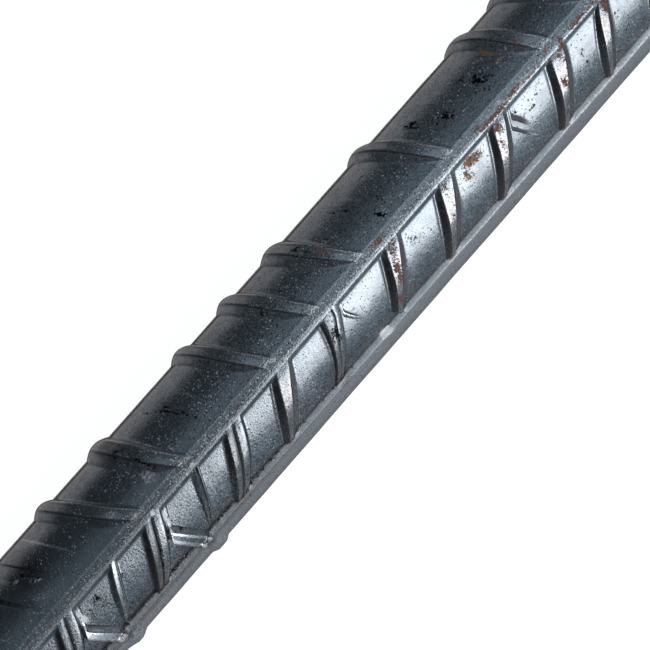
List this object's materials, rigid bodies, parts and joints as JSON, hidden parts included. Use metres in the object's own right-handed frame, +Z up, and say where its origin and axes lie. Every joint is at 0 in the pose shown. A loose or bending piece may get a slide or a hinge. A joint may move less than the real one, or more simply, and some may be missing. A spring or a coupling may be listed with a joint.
{
  "type": "reinforcing bar",
  "caption": "Hot-rolled ribbed steel bar for reinforcing concrete, with lengthwise ribs, herringbone slanting ribs, mill scale and light rust.",
  "frame": {"origin": "on the ground, below the middle of the bar's box", "axes": "+Z up, X along the bar, +Y away from the wide side land"},
  "size_m": [1, 0.0254, 0.026],
  "materials": {
    "scaled_steel": "blue-grey mill scale, slightly glossy, speckled, with rust on the ribs"
  },
  "bodies": {
    "root": {"bar": "scaled_steel"}
  },
  "joints": []
}
